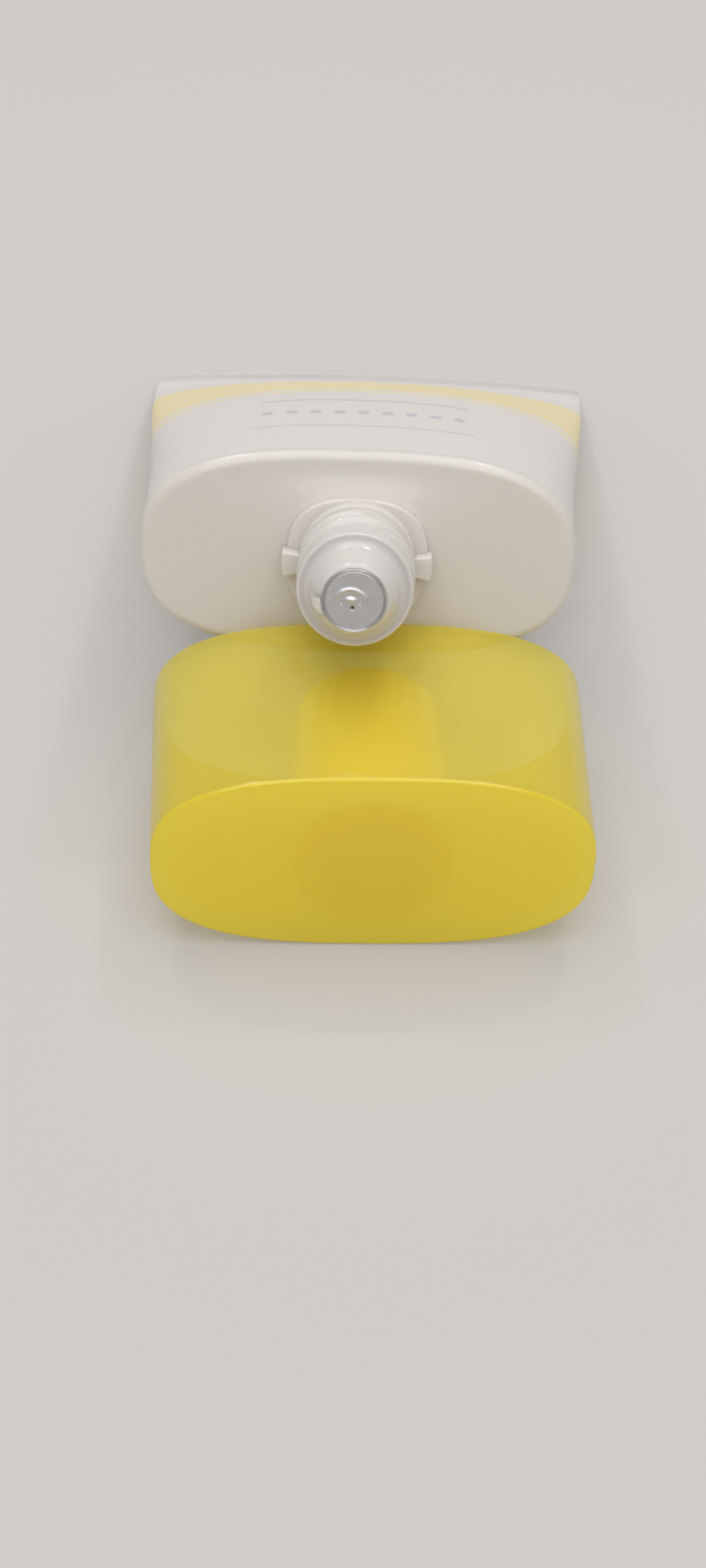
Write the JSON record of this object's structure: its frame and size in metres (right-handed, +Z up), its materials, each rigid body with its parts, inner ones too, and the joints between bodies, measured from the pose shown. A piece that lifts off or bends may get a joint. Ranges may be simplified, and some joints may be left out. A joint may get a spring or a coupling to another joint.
{
  "type": "sunscreen tube",
  "caption": "Oval squeeze tube with a crimped end, a screw neck under a peel-off foil seal, and a translucent oval screw cap that lies under the neck.",
  "frame": {"origin": "on the table under the middle of the whole object's box", "axes": "+Z up, +Y from the cap's closed face towards the tube's crimped end, +X to the right seen from the cap"},
  "size_m": [0.0728, 0.1518, 0.0485],
  "materials": {
    "white_film": "satin squeeze film with a pale yellow printed band",
    "white_plastic": "satin moulded plastic",
    "nozzle_plastic": "smooth moulded plastic",
    "silver_foil": "embossed foil",
    "lotion": "thick white lotion",
    "clear_yellow": "translucent moulded plastic"
  },
  "bodies": {
    "tube": {"tube_sleeve": "white_film", "tube_head": "white_plastic", "nozzle_insert": "nozzle_plastic", "lotion_fill": "lotion"},
    "seal": {"foil_seal": "silver_foil"},
    "cap": {"cap_shell": "clear_yellow", "cap_socket": "clear_yellow"}
  },
  "joints": [
    {"name": "seal_peel", "type": "hinge", "parent": "tube", "child": "seal", "pos_m": [-0.00225, -0.05979, 0.04298], "axis": [-0.1246, 0.3024, 0.945], "range_deg": [0, 100]},
    {"name": "cap_slide", "type": "slide", "parent": "tube", "child": "cap", "axis": [0, -1, 0], "range_m": [0, 0.06]}
  ]
}
